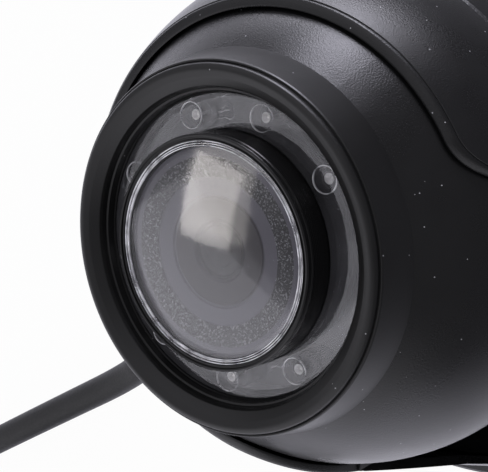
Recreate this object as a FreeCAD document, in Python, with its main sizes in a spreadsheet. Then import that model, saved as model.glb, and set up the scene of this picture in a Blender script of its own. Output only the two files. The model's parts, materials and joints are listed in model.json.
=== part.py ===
import FreeCAD, Part
import math
import os
import Sketcher

Vector = FreeCAD.Vector
Rotation = FreeCAD.Rotation
Placement = FreeCAD.Placement

doc = FreeCAD.newDocument("BackupCamera")

# Driving dimensions, in millimetres and degrees.
# Heights ending in _rise are measured up from the centre of the ball.
DIMENSIONS = [
    ("ball_height", 37.0, "centre of the ball above the panel"),
    ("ball_radius", 32.9, "outside of the ball"),
    ("ball_wall", 1.8, "wall of the ball's shells"),
    ("ball_split_drop", 12.0, "joint of the two shells below the ball's centre"),
    ("ball_gap", 0.35, "running gap round the ball"),
    ("flat_drop", 2.3, "flat on each side of the ball, below its surface"),
    ("crease_radius", 23.4, "where the bezel rises out of the ball"),
    ("bezel_radius", 22.5, "outside of the bezel's lip"),
    ("bezel_rise", 5.62, "crest of the bezel"),
    ("bezel_round", 0.9, "rounding of the bezel's crest"),
    ("mouth_radius", 19.0, "mouth of the bezel"),
    ("mouth_rise", 4.47, "inner edge of the bezel's slope"),
    ("window_radius", 18.3, "outside of the clear ring"),
    ("window_rise", 2.47, "front of the clear ring"),
    ("window_thickness", 1.6, "clear ring"),
    ("window_ledge", 0.7, "ledge that the clear ring sits on"),
    ("seat_clearance", 0.1, "clearance round pieces that seat in others"),
    ("barrel_radius", 14.0, "outside of the lens barrel"),
    ("barrel_rise", 6.67, "front edge of the lens barrel"),
    ("barrel_wall", 1.5, "wall of the lens barrel"),
    ("barrel_foot_rise", -11.13, "back edge of the lens barrel"),
    ("glass_radius", 13.2, "cover glass"),
    ("glass_edge", 1.8, "edge thickness of the cover glass"),
    ("glass_crown", 2.2, "crown of the cover glass"),
    ("glass_lip", 0.5, "barrel's edge in front of the glass's edge"),
    ("baffle_top_radius", 11.2, "front edge of the baffle's cone"),
    ("baffle_step_radius", 8.7, "step inside the baffle"),
    ("baffle_rise", 2.87, "front of the baffle"),
    ("baffle_step_rise", 1.47, "textured step of the baffle"),
    ("baffle_foot_rise", -0.53, "back of the baffle"),
    ("holder_radius", 6.6, "threaded lens holder"),
    ("holder_rise", -0.73, "front of the lens holder"),
    ("lens_radius", 3.3, "front lens"),
    ("lens_thickness", 2.4, "front lens"),
    ("lens_crown", 0.8, "crown of the front lens"),
    ("rear_lens_radius", 4.2, "rear lens"),
    ("filter_side", 5.6, "infrared filter"),
    ("filter_thickness", 0.6, "infrared filter"),
    ("sensor_side", 7.0, "image sensor"),
    ("sensor_thickness", 1.2, "image sensor"),
    ("carrier_radius", 20.4, "plate that carries the lens and the lamps"),
    ("carrier_rise", -4.73, "front of the carrier plate"),
    ("carrier_thickness", 2.0, "carrier plate"),
    ("lamp_board_radius", 20.2, "board of the infrared lamps"),
    ("board_thickness", 1.2, "printed boards"),
    ("lamp_radius", 1.5, "infrared lamp"),
    ("lamp_circle", 16.3, "circle of the infrared lamps"),
    ("lamp_length", 3.9, "infrared lamp above its board"),
    ("eye_side", 2.4, "daylight sensor"),
    ("nut_radius", 16.2, "nut that clamps the barrel"),
    ("nut_thickness", 2.0, "nut that clamps the barrel"),
    ("board_side", 29.0, "square boards behind the lens"),
    ("post_offset", 13.0, "board posts from the lens axis"),
    ("post_radius", 1.6, "board posts"),
    ("sensor_board_rise", -15.13, "front of the image board"),
    ("main_board_rise", -26.13, "front of the main board"),
    ("small_screw_radius", 0.8, "screws inside the ball"),
    ("small_head_radius", 1.5, "heads of the screws inside the ball"),
    ("small_head_height", 1.0, "heads of the screws inside the ball"),
    ("shell_screw_inset", 6.4, "screws that close the ball, from its surface"),
    ("shell_boss_radius", 3.2, "bosses that close the ball"),
    ("grommet_radius", 4.0, "hole at the back of the ball"),
    ("pin_radius", 3.0, "tilt pins"),
    ("pin_clearance", 0.05, "running clearance of the tilt pins"),
    ("pin_head_radius", 4.8, "heads of the tilt pins"),
    ("pin_head_height", 1.6, "heads of the tilt pins"),
    ("pin_grip", 2.9, "tilt pin inside the housing's boss"),
    ("pin_boss_radius", 7.0, "boss round each tilt pin"),
    ("washer_radius", 6.4, "friction washers"),
    ("washer_thickness", 0.5, "friction washers"),
    ("visor_wall", 1.15, "wall of the visor"),
    ("rim_radius", 28.3, "round mouth of the visor"),
    ("seam_height", 42.0, "joint of visor and housing above the panel"),
    ("seam_bevel", 0.3, "bevel on each side of the seam"),
    ("notch_half_width", 24.35, "half the slot that the bezel tilts into"),
    ("notch_blend", 12.0, "rounding from the mouth into the slot"),
    ("notch_floor", 12.0, "floor of the slot above the panel"),
    ("notch_corner", 6.0, "corners of the slot's floor"),
    ("gasket_thickness", 1.0, "sealing pad"),
    ("plate_radius", 47.7, "base plate"),
    ("plate_thickness", 2.0, "base plate"),
    ("rib_gap", 2.70, "between the housing's wall and the base plate's rib"),
    ("rib_wall", 2.2, "base plate's rib"),
    ("rib_height", 6.0, "base plate's rib"),
    ("foot_step", 1.7, "housing's lower edge inside the base plate's"),
    ("flare_step", 5.065, "middle of the housing's flare outside its upper edge"),
    ("flare_height", 23.0, "middle of the housing's flare"),
    ("shoulder_step", 1.265, "housing's shoulder outside its upper edge"),
    ("shoulder_height", 37.3, "housing beside the tilt pins"),
    ("housing_wall", 1.3, "wall of the housing"),
    ("panel_circle", 31.0, "circle of the panel screws"),
    ("panel_hole_radius", 2.25, "holes for the panel screws"),
    ("lock_screw_radius", 1.5, "screws that lock the housing to its plate"),
    ("lock_head_radius", 2.6, "heads of the lock screws"),
    ("lock_head_height", 1.2, "heads of the lock screws"),
    ("lock_screw_height", 6.2, "lock screws above the panel"),
    ("lock_screw_length", 6.0, "lock screws"),
    ("cable_radius", 2.8, "outside of the cable"),
    ("cable_exit_height", 7.4, "cable exit above the panel"),
    ("cable_exit_angle", 157.0, "direction of the cable exit"),
    ("cable_inside", 12.0, "cable inside the housing"),
    ("boot_radius", 3.6, "cable boot in the housing's wall"),
    ("boot_tip_radius", 3.5, "thin end of the cable boot"),
    ("boot_flange_radius", 4.3, "flange of the boot inside the wall"),
    ("boot_flange_thickness", 1.6, "flange of the boot inside the wall"),
    ("boot_length", 16.3, "cable boot outside the base plate's edge"),
    ("plug_radius", 6.2, "body of the connector"),
    ("plug_length", 30.0, "body of the connector"),
    ("plug_nose_radius", 5.4, "nose of the connector"),
    ("plug_nose_length", 11.0, "nose of the connector"),
    ("ring_radius", 8.8, "coupling ring"),
    ("ring_length", 13.0, "coupling ring"),
    ("ring_stop", 1.4, "collar that traps the coupling ring"),
    ("ring_clearance", 0.06, "running clearance of the coupling ring"),
    ("contact_radius", 0.6, "contact pins"),
    ("contact_circle", 2.6, "circle of the contact pins"),
    ("contact_length", 7.0, "contact pins"),
]

LAMP_ANGLES = (-26.0, 14.0, 52.0, 93.0, 131.0, 167.0, 204.5, 241.5)
DAYLIGHT_ANGLE = -5.0
LOCK_SCREW_ANGLES = (30.0, 90.0, 210.0)
PANEL_SCREW_COUNT = 4
SHELL_SCREW_ANGLES = (30.0, 150.0, 270.0)
CONTACT_COUNT = 4

sheet = doc.addObject("Spreadsheet::Sheet", "Dimensions")
for row, (alias, value, meaning) in enumerate(DIMENSIONS, start=1):
    sheet.set("A%d" % row, str(value))
    sheet.setAlias("A%d" % row, alias)
    sheet.set("B%d" % row, meaning)
doc.recompute()


class Sizes:
    """The sheet's values as plain numbers, for shapes that are made by code."""

    def __getattr__(self, alias):
        return float(getattr(sheet, alias))


size = Sizes()
NAMES = sorted((alias for alias, _, _ in DIMENSIONS), key=len, reverse=True)


def bound(text):
    """An expression in which every alias reads its cell."""
    words = []
    for word in text.split():
        bare = word.strip("()")
        if bare in NAMES:
            word = word.replace(bare, "Dimensions." + bare)
        words.append(word)
    return " ".join(words)


def origin_plane(body, role):
    for feature in body.Origin.OriginFeatures:
        if feature.Role == role:
            return feature
    raise ValueError("no plane " + role)


# Bodies turned about their own axis
def turned(label, profile):
    """A body of revolution about its Z axis.

    profile lists (radius, height) pairs of expressions, in order round the section.
    """
    body = doc.addObject("PartDesign::Body", label + "_body")
    body.Label = label
    sketch = body.newObject("Sketcher::SketchObject", label + "_section")
    sketch.AttachmentSupport = (origin_plane(body, "XZ_Plane"), [""])
    sketch.MapMode = "FlatFace"
    count = len(profile)
    corners = []
    for index in range(count):
        turn = 2.0 * math.pi * index / count
        corners.append(Vector(30.0 + 10.0 * math.cos(turn), 30.0 + 10.0 * math.sin(turn), 0.0))
    for index in range(count):
        sketch.addGeometry(Part.LineSegment(corners[index], corners[(index + 1) % count]), False)
    for index in range(count):
        following = (index + 1) % count
        sketch.addConstraint(Sketcher.Constraint("Coincident", index, 2, following, 1))
    for index, (radius, height) in enumerate(profile):
        if radius == "0":
            sketch.addConstraint(Sketcher.Constraint("PointOnObject", index, 1, -2))
        else:
            bind_distance(sketch, "DistanceX", index, corners[index].x, "radius%d" % index, radius)
        bind_distance(sketch, "DistanceY", index, corners[index].y, "height%d" % index, height)
    doc.recompute()
    turn = body.newObject("PartDesign::Revolution", label + "_turn")
    turn.Profile = sketch
    turn.ReferenceAxis = (sketch, ["V_Axis"])
    turn.Angle = 360.0
    body.Tip = turn
    return body


def bind_distance(sketch, kind, index, value, name, text):
    number = sketch.addConstraint(Sketcher.Constraint(kind, -1, 1, index, 1, value))
    sketch.renameConstraint(number, name)
    sketch.setExpression("Constraints." + name, bound(text))


# Primitives and booleans
def ball(name, radius):
    shape = doc.addObject("Part::Sphere", name)
    shape.setExpression("Radius", bound(radius))
    shape.setExpression(".Placement.Base.z", bound("ball_height"))
    return shape


def cylinder(name, radius, height, base="0"):
    shape = doc.addObject("Part::Cylinder", name)
    shape.setExpression("Radius", bound(radius))
    shape.setExpression("Height", bound(height))
    shape.setExpression(".Placement.Base.z", bound(base))
    return shape


def block(name, half_x, half_y, low, high):
    shape = doc.addObject("Part::Box", name)
    shape.setExpression("Length", bound("2 * ( " + half_x + " )"))
    shape.setExpression("Width", bound("2 * ( " + half_y + " )"))
    shape.setExpression("Height", bound("( " + high + " ) - ( " + low + " )"))
    shape.setExpression(".Placement.Base.x", bound("-1 * ( " + half_x + " )"))
    shape.setExpression(".Placement.Base.y", bound("-1 * ( " + half_y + " )"))
    shape.setExpression(".Placement.Base.z", bound(low))
    return shape


def common(name, shapes):
    result = doc.addObject("Part::MultiCommon", name)
    result.Shapes = shapes
    return result


def fused(name, shapes):
    result = doc.addObject("Part::MultiFuse", name)
    result.Shapes = shapes
    return result


def cut(label, base, tools):
    """base less every tool; the last step carries the label."""
    result = base
    for index, tool in enumerate(tools):
        step = doc.addObject("Part::Cut", "%s_cut%d" % (label, index))
        step.Base = result
        step.Tool = tool
        result = step
    result.Label = label
    return result


def made(name, shape):
    """A shape that is made by code, kept as a document object."""
    feature = doc.addObject("Part::Feature", name)
    feature.Shape = shape
    return feature


def made_piece(label, shape, placement=Placement()):
    feature = made(label + "_shape", shape)
    feature.Label = label
    feature.Placement = placement.multiply(shape.Placement)
    return feature


def rod(radius, start, end):
    axis = end - start
    return Part.makeCylinder(radius, axis.Length, start, axis)


def polar(radius, degrees, height=0.0):
    turn = math.radians(degrees)
    return Vector(radius * math.cos(turn), radius * math.sin(turn), height)


pieces = []


def keep(piece):
    pieces.append(piece)
    return piece

CREASE_RISE = "sqrt( ball_radius ^ 2 - crease_radius ^ 2 )"
CREASE = "ball_height + " + CREASE_RISE


def rise(text):
    """A height that is given from the crease round the bezel, as one above the panel."""
    return CREASE + " + " + text


SPLIT = "ball_height - ball_split_drop"
VISOR_RADIUS = "ball_radius + ball_gap + visor_wall"
SOCKET_RADIUS = "ball_radius + ball_gap"
SEAM_RISE = "( seam_height - ball_height )"
FOOT_RADIUS = "( plate_radius - foot_step )"
RIB_RADIUS = "( plate_radius - foot_step - housing_wall - rib_gap )"
BOOT_REACH = "plate_radius + boot_length"
SEAM_RADIUS = "sqrt( ( " + VISOR_RADIUS + " ) ^ 2 - " + SEAM_RISE + " ^ 2 )"
WINDOW_BACK = rise("window_rise - window_thickness")
LAMP_BOARD_FRONT = rise("carrier_rise + board_thickness")
PLATE_TOP = "gasket_thickness + plate_thickness"

ball_centre = Vector(0.0, 0.0, size.ball_height)
crease = size.ball_height + math.sqrt(size.ball_radius ** 2 - size.crease_radius ** 2)
flat_reach = size.ball_radius - size.flat_drop
shell_screw_circle = size.ball_radius - size.shell_screw_inset
seam_radius = math.sqrt((size.ball_radius + size.ball_gap + size.visor_wall) ** 2
                        - (size.seam_height - size.ball_height) ** 2)
foot_radius = size.plate_radius - size.foot_step
rib_radius = foot_radius - size.housing_wall - size.rib_gap
boot_reach = size.plate_radius + size.boot_length


def above(distance):
    """A point on the lens axis, at a distance in front of the ball's centre."""
    return ball_centre + Vector(0.0, 0.0, distance)


def rods_at(angles, circle, radius, low, high):
    """Upright rods on a circle round the lens axis."""
    return [rod(radius, polar(circle, angle, low), polar(circle, angle, high)) for angle in angles]


def corner_rods(offset, radius, low, high):
    """Upright rods at the corners of a square round the lens axis."""
    rods = []
    for side_x in (-1.0, 1.0):
        for side_y in (-1.0, 1.0):
            foot = Vector(side_x * offset, side_y * offset, low)
            rods.append(rod(radius, foot, foot + Vector(0.0, 0.0, high - low)))
    return rods


# Bezel: the raised ring round the clear window
LIP_TOP = rise("bezel_rise")
carrier_screw_circle = 0.5 * (size.window_radius + size.seat_clearance + size.carrier_radius)
carrier_back = crease + size.carrier_rise - size.carrier_thickness
carrier_screw_top = crease + size.window_rise - size.window_thickness
CARRIER_SCREW_ANGLES = (33.0, 112.0, 186.0, 280.0)
bezel_blank = turned("bezel_blank", [
    ("crease_radius", CREASE),
    ("bezel_radius", LIP_TOP + " - bezel_round"),
    ("bezel_radius - 0.3 * bezel_round", LIP_TOP + " - 0.3 * bezel_round"),
    ("bezel_radius - bezel_round", LIP_TOP),
    ("mouth_radius + 0.4 * bezel_round", rise("mouth_rise + 0.3 * bezel_round")),
    ("mouth_radius", rise("mouth_rise")),
    ("window_radius + seat_clearance", rise("window_rise")),
    ("window_radius + seat_clearance", WINDOW_BACK),
    ("window_radius - window_ledge", WINDOW_BACK),
    ("window_radius - window_ledge", WINDOW_BACK + " - 0.5 * window_ledge"),
    ("window_radius + seat_clearance", WINDOW_BACK + " - 1.5 * window_ledge"),
    ("window_radius + seat_clearance", LAMP_BOARD_FRONT),
    ("carrier_radius", LAMP_BOARD_FRONT),
    ("carrier_radius", CREASE),
])
carrier_screw_holes = made("carrier_screw_holes", Part.makeCompound(rods_at(
    CARRIER_SCREW_ANGLES, carrier_screw_circle, size.small_screw_radius, carrier_back, carrier_screw_top)))
keep(cut("bezel_ring", bezel_blank, [carrier_screw_holes]))

# Clear ring in front of the lamps
keep(turned("clear_window", [
    ("barrel_radius + seat_clearance", WINDOW_BACK),
    ("window_radius", WINDOW_BACK),
    ("window_radius", rise("window_rise")),
    ("barrel_radius + seat_clearance", rise("window_rise")),
]))

# Lens barrel and its clamping nut
GLASS_BACK = rise("barrel_rise - glass_lip - glass_edge")
keep(turned("lens_barrel", [
    ("barrel_radius - barrel_wall", rise("barrel_foot_rise")),
    ("barrel_radius", rise("barrel_foot_rise")),
    ("barrel_radius", rise("barrel_rise - 0.3")),
    ("barrel_radius - 0.3", rise("barrel_rise")),
    ("glass_radius + seat_clearance", rise("barrel_rise")),
    ("glass_radius + seat_clearance", GLASS_BACK),
    ("barrel_radius - barrel_wall", GLASS_BACK),
]))
keep(turned("barrel_nut", [
    ("barrel_radius", rise("carrier_rise - carrier_thickness - nut_thickness")),
    ("nut_radius", rise("carrier_rise - carrier_thickness - nut_thickness")),
    ("nut_radius", rise("carrier_rise - carrier_thickness")),
    ("barrel_radius", rise("carrier_rise - carrier_thickness")),
]))


def crowned_disc(label, radius, edge, crown, back):
    """A round glass with a flat back and a crowned front."""
    disc = cylinder(label + "_disc", radius, edge + " + " + crown, back)
    dome = doc.addObject("Part::Sphere", label + "_dome")
    curve = "( " + radius + " ^ 2 + " + crown + " ^ 2 ) / ( 2 * " + crown + " )"
    dome.setExpression("Radius", bound(curve))
    dome.setExpression(".Placement.Base.z", bound(back + " + " + edge + " + " + crown + " - " + curve))
    glass = common(label + "_glass", [disc, dome])
    glass.Label = label
    return glass


keep(crowned_disc("cover_glass", "glass_radius", "glass_edge", "glass_crown", GLASS_BACK))

# Black baffle with its textured step, between the cover glass and the lens
keep(turned("lens_baffle", [
    ("barrel_radius - barrel_wall", rise("baffle_foot_rise")),
    ("barrel_radius - barrel_wall", rise("baffle_rise")),
    ("baffle_top_radius", rise("baffle_rise")),
    ("baffle_top_radius", rise("baffle_step_rise")),
    ("baffle_step_radius", rise("baffle_step_rise")),
    ("holder_radius + seat_clearance", rise("baffle_foot_rise")),
]))

# Lens holder, lenses, filter and image sensor
LENS_SEAT = rise("holder_rise - lens_thickness - 0.2")
REAR_LENS_FRONT = LENS_SEAT + " - 0.8"
BOARD_FRONT = rise("sensor_board_rise")
keep(turned("lens_holder", [
    ("rear_lens_radius + 1", BOARD_FRONT),
    ("holder_radius + 2.4", BOARD_FRONT),
    ("holder_radius + 2.4", BOARD_FRONT + " + 2"),
    ("holder_radius", BOARD_FRONT + " + 2"),
    ("holder_radius", rise("holder_rise")),
    ("lens_radius + seat_clearance + 0.6", rise("holder_rise")),
    ("lens_radius + seat_clearance", rise("holder_rise - 0.6")),
    ("lens_radius + seat_clearance", LENS_SEAT),
    ("lens_radius - 0.7", LENS_SEAT),
    ("lens_radius - 0.7", REAR_LENS_FRONT),
    ("rear_lens_radius + seat_clearance", REAR_LENS_FRONT),
    ("rear_lens_radius + seat_clearance", BOARD_FRONT + " + 4"),
    ("rear_lens_radius + 1", BOARD_FRONT + " + 4"),
]))
keep(crowned_disc("front_lens", "lens_radius", "( lens_thickness - lens_crown )", "lens_crown", LENS_SEAT))
rear_lens = cylinder("rear_lens_disc", "rear_lens_radius", "lens_thickness",
                     REAR_LENS_FRONT + " - lens_thickness")
rear_lens.Label = "rear_lens"
keep(rear_lens)
infrared_filter = block("infrared_filter_plate", "filter_side / 2", "filter_side / 2",
                        BOARD_FRONT + " + 4", BOARD_FRONT + " + 4 + filter_thickness")
infrared_filter.Label = "infrared_filter"
keep(infrared_filter)
image_sensor = block("image_sensor_chip", "sensor_side / 2", "sensor_side / 2",
                     BOARD_FRONT, BOARD_FRONT + " + sensor_thickness")
image_sensor.Label = "image_sensor"
keep(image_sensor)

# Carrier plate, lamp board, lamps and daylight sensor
carrier_blank = turned("carrier_blank", [
    ("barrel_radius + seat_clearance", rise("carrier_rise - carrier_thickness")),
    ("carrier_radius", rise("carrier_rise - carrier_thickness")),
    ("carrier_radius", rise("carrier_rise")),
    ("barrel_radius + seat_clearance", rise("carrier_rise")),
])
carrier_clearance_holes = made("carrier_clearance_holes", Part.makeCompound(rods_at(
    CARRIER_SCREW_ANGLES, carrier_screw_circle, size.small_screw_radius + size.seat_clearance,
    carrier_back - 1.0, crease + size.carrier_rise + size.board_thickness)))
keep(cut("lens_carrier", carrier_blank, [carrier_clearance_holes]))
lamp_board_blank = turned("lamp_board_blank", [
    ("barrel_radius + seat_clearance", rise("carrier_rise")),
    ("lamp_board_radius", rise("carrier_rise")),
    ("lamp_board_radius", LAMP_BOARD_FRONT),
    ("barrel_radius + seat_clearance", LAMP_BOARD_FRONT),
])
keep(cut("lamp_board", lamp_board_blank, [carrier_clearance_holes]))

lamp_foot = crease + size.carrier_rise + size.board_thickness


def lamp(angle):
    """One infrared lamp: a round body with a domed end."""
    foot = polar(size.lamp_circle, angle, lamp_foot)
    dome_centre = foot + Vector(0.0, 0.0, size.lamp_length - size.lamp_radius)
    dome = Part.makeSphere(size.lamp_radius, dome_centre)
    return rod(size.lamp_radius, foot, dome_centre).fuse(dome).removeSplitter()


keep(made_piece("infrared_lamps", Part.makeCompound([lamp(angle) for angle in LAMP_ANGLES])))

eye = Part.makeBox(size.eye_side, size.eye_side, size.eye_side)
eye.translate(Vector(size.lamp_circle - size.eye_side / 2.0, -size.eye_side / 2.0, lamp_foot))
eye.rotate(Vector(), Vector(0.0, 0.0, 1.0), DAYLIGHT_ANGLE)
keep(made_piece("daylight_sensor", eye))

head_low = carrier_back - size.small_head_height
carrier_screws = []
for angle in CARRIER_SCREW_ANGLES:
    shank = rod(size.small_screw_radius, polar(carrier_screw_circle, angle, carrier_back),
                polar(carrier_screw_circle, angle, carrier_screw_top - 1.0))
    cap = rod(size.small_head_radius, polar(carrier_screw_circle, angle, head_low),
              polar(carrier_screw_circle, angle, carrier_back))
    carrier_screws.append(shank.fuse(cap).removeSplitter())
keep(made_piece("carrier_screws", Part.makeCompound(carrier_screws)))

# Boards behind the lens, on their posts
image_board_front = crease + size.sensor_board_rise
image_board_back = image_board_front - size.board_thickness
main_board_front = crease + size.main_board_rise
main_board_back = main_board_front - size.board_thickness


def board(label, front):
    blank = block(label + "_blank", "board_side / 2", "board_side / 2",
                  front + " - board_thickness", front)
    return cut(label, blank, [post_holes])


post_holes = made("post_holes", Part.makeCompound(corner_rods(
    size.post_offset, size.small_screw_radius + size.seat_clearance,
    main_board_back - 1.0, carrier_back)))
keep(board("image_board", BOARD_FRONT))
keep(board("main_board", rise("main_board_rise")))
keep(made_piece("image_board_posts", Part.makeCompound(corner_rods(
    size.post_offset, size.post_radius, image_board_front, carrier_back))))
keep(made_piece("main_board_posts", Part.makeCompound(corner_rods(
    size.post_offset, size.post_radius, main_board_front, image_board_back))))
board_screws = []
for side_x in (-1.0, 1.0):
    for side_y in (-1.0, 1.0):
        top = Vector(side_x * size.post_offset, side_y * size.post_offset, main_board_front)
        seat = Vector(top.x, top.y, main_board_back)
        shank = rod(size.small_screw_radius, seat, top)
        cap = rod(size.small_head_radius, seat - Vector(0.0, 0.0, size.small_head_height), seat)
        board_screws.append(shank.fuse(cap).removeSplitter())
keep(made_piece("board_screws", Part.makeCompound(board_screws)))
chip = block("chip", "board_side / 6", "board_side / 6", rise("main_board_rise"),
             rise("main_board_rise + board_thickness"))
chip.Label = "signal_processor"
keep(chip)

# Ball: front and rear shells with flats at the tilt pins
FAR = "2 * plate_radius"


def shell_blank(name, low, high):
    """The ball between two heights, hollow, with a flat on each side."""
    outside = common(name + "_outside", [
        ball(name + "_sphere", "ball_radius"),
        block(name + "_slab", "ball_radius - flat_drop", FAR, low, high)])
    inside = common(name + "_inside", [
        ball(name + "_hollow", "ball_radius - ball_wall"),
        block(name + "_hollow_slab", "ball_radius - flat_drop - ball_wall", FAR, low + " - 1", high + " + 1")])
    return outside, inside


def side_rods(radius, inner, outer):
    """A rod along the tilt axis on each side of the ball."""
    return [rod(radius, ball_centre + Vector(side * inner, 0.0, 0.0),
                ball_centre + Vector(side * outer, 0.0, 0.0)) for side in (-1.0, 1.0)]


split = size.ball_height - size.ball_split_drop
boss_top = split + 7.0
screw_seat = split - 4.0
front_outside, front_inside = shell_blank("front_shell", SPLIT, CREASE)
front_hollow = doc.addObject("Part::Cut", "front_shell_hollowed")
front_hollow.Base = front_outside
front_hollow.Tool = front_inside
front_bosses = made("front_shell_bosses", Part.makeCompound(rods_at(
    SHELL_SCREW_ANGLES, shell_screw_circle, size.shell_boss_radius, split, boss_top)))
front_body = fused("front_shell_with_bosses", [front_hollow, front_bosses])
pin_bores = made("pin_bores", Part.makeCompound(side_rods(
    size.pin_radius, flat_reach - 2.0 * size.ball_wall, flat_reach + 1.0)))
shell_screw_holes = made("shell_screw_holes", Part.makeCompound(rods_at(
    SHELL_SCREW_ANGLES, shell_screw_circle, size.small_screw_radius, split - 1.0, boss_top - 1.0)))
keep(cut("ball_front_shell", front_body, [pin_bores, shell_screw_holes]))

seal_ring_thickness = 0.5
rear_outside, rear_inside = shell_blank("rear_shell", "0", SPLIT + " - 0.5")
rear_hollow = doc.addObject("Part::Cut", "rear_shell_hollowed")
rear_hollow.Base = rear_outside
rear_hollow.Tool = rear_inside
rear_bosses = common("rear_shell_bosses", [
    made("rear_boss_rods", Part.makeCompound(rods_at(
        SHELL_SCREW_ANGLES, shell_screw_circle, size.shell_boss_radius, 0.0,
        split - seal_ring_thickness))),
    ball("rear_boss_limit", "ball_radius")])
rear_body = fused("rear_shell_with_bosses", [rear_hollow, rear_bosses])
rear_screw_holes = made("rear_screw_holes", Part.makeCompound(
    rods_at(SHELL_SCREW_ANGLES, shell_screw_circle,
            size.small_screw_radius + size.seat_clearance, 0.0, split)))
rear_counterbores = made("rear_counterbores", Part.makeCompound(
    rods_at(SHELL_SCREW_ANGLES, shell_screw_circle,
            size.small_head_radius + size.seat_clearance, 0.0, screw_seat)))
grommet_hole = cylinder("grommet_hole", "grommet_radius", "ball_height / 2")
keep(cut("ball_rear_shell", rear_body, [rear_screw_holes, rear_counterbores, grommet_hole]))

SEAL_OUTSIDE = "sqrt( ball_radius ^ 2 - ball_split_drop ^ 2 )"
seal_blank = turned("seal_blank", [
    (SEAL_OUTSIDE + " - 1.8", SPLIT + " - 0.5"),
    (SEAL_OUTSIDE + " - 0.6", SPLIT + " - 0.5"),
    (SEAL_OUTSIDE + " - 0.6", SPLIT),
    (SEAL_OUTSIDE + " - 1.8", SPLIT),
])
seal_relief = made("seal_relief", Part.makeCompound(rods_at(
    SHELL_SCREW_ANGLES, shell_screw_circle, size.small_screw_radius + 0.3, split - 1.0, split + 1.0)))
keep(cut("ball_seal", seal_blank, [seal_relief]))

shell_screws = []
for angle in SHELL_SCREW_ANGLES:
    shank = rod(size.small_screw_radius, polar(shell_screw_circle, angle, screw_seat),
                polar(shell_screw_circle, angle, boss_top - 1.0))
    cap = rod(size.small_head_radius,
              polar(shell_screw_circle, angle, screw_seat - size.small_head_height),
              polar(shell_screw_circle, angle, screw_seat))
    shell_screws.append(shank.fuse(cap).removeSplitter())
keep(made_piece("shell_screws", Part.makeCompound(shell_screws)))

GROMMET_SEAT = "ball_height - sqrt( ( ball_radius - ball_wall ) ^ 2 - ( grommet_radius + 1.5 ) ^ 2 )"
keep(turned("ball_grommet", [
    ("grommet_radius / 2", "ball_height - ball_radius + 0.4"),
    ("grommet_radius - seat_clearance", "ball_height - ball_radius + 0.4"),
    ("grommet_radius - seat_clearance", GROMMET_SEAT),
    ("grommet_radius + 1.5", GROMMET_SEAT),
    ("grommet_radius + 1.5", GROMMET_SEAT + " + 1"),
    ("grommet_radius / 2", GROMMET_SEAT + " + 1"),
]))

# Tilt pins and friction washers
pin_end = flat_reach + size.washer_thickness + size.seat_clearance + size.pin_grip
pin_seat = flat_reach - size.ball_wall
for side, name in ((-1.0, "left"), (1.0, "right")):
    along = Vector(side, 0.0, 0.0)
    shank = rod(size.pin_radius, ball_centre + along * pin_seat, ball_centre + along * pin_end)
    cap = rod(size.pin_head_radius, ball_centre + along * (pin_seat - size.pin_head_height),
              ball_centre + along * pin_seat)
    keep(made_piece(name + "_tilt_pin", shank.fuse(cap).removeSplitter()))
    washer_inner = ball_centre + along * flat_reach
    washer_outer = washer_inner + along * size.washer_thickness
    washer = rod(size.washer_radius, washer_inner, washer_outer).cut(
        rod(size.pin_radius, washer_inner, washer_outer))
    keep(made_piece(name + "_friction_washer", washer))

# Housing: a flared shell with a slot for the tilting bezel
housing_outside = turned("housing_outside", [
    ("0", PLATE_TOP),
    (FOOT_RADIUS, PLATE_TOP),
    (SEAM_RADIUS + " + flare_step", "flare_height"),
    (SEAM_RADIUS + " + shoulder_step", "shoulder_height"),
    (SEAM_RADIUS, "seam_height"),
    ("0", "seam_height"),
])
housing_inside = turned("housing_inside", [
    ("0", PLATE_TOP + " - 1"),
    (FOOT_RADIUS + " - housing_wall", PLATE_TOP + " - 1"),
    (FOOT_RADIUS + " - housing_wall", PLATE_TOP),
    (SEAM_RADIUS + " + flare_step - housing_wall", "flare_height"),
    (SEAM_RADIUS + " + shoulder_step - housing_wall", "shoulder_height"),
    (SOCKET_RADIUS, "seam_height"),
    (SOCKET_RADIUS, "seam_height + 1"),
    ("0", "seam_height + 1"),
])
housing_shell = doc.addObject("Part::Cut", "housing_shell")
housing_shell.Base = housing_outside
housing_shell.Tool = housing_inside
boss_start = flat_reach + size.washer_thickness + size.seat_clearance
pin_bosses = common("pin_bosses", [
    made("pin_boss_rods", Part.makeCompound(side_rods(size.pin_boss_radius, boss_start, foot_radius))),
    housing_outside])
housing_body = fused("housing_with_bosses", [housing_shell, pin_bosses])
pin_sockets = made("pin_sockets", Part.makeCompound(side_rods(
    size.pin_radius + size.pin_clearance, boss_start - 1.0, pin_end + size.seat_clearance)))

slot_top = size.seam_height + 5.0
slot_blank = Part.makeBox(2.0 * size.notch_half_width, 2.0 * size.plate_radius,
                          slot_top - size.notch_floor,
                          Vector(-size.notch_half_width, -2.0 * size.plate_radius, size.notch_floor))
floor_edges = [edge for edge in slot_blank.Edges
               if abs(edge.CenterOfMass.z - size.notch_floor) < 1e-6
               and abs(abs(edge.CenterOfMass.x) - size.notch_half_width) < 1e-6]
slot = made("housing_slot", slot_blank.makeFillet(size.notch_corner, floor_edges))

seam_groove = turned("seam_groove", [
    (SEAM_RADIUS + " - seam_bevel", "seam_height"),
    (SEAM_RADIUS + " + 1", "seam_height - seam_bevel - 1"),
    (SEAM_RADIUS + " + 1", "seam_height + seam_bevel + 1"),
])


def radial_rod(radius, angle, height, inner, outer):
    return rod(radius, polar(inner, angle, height), polar(outer, angle, height))


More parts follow.
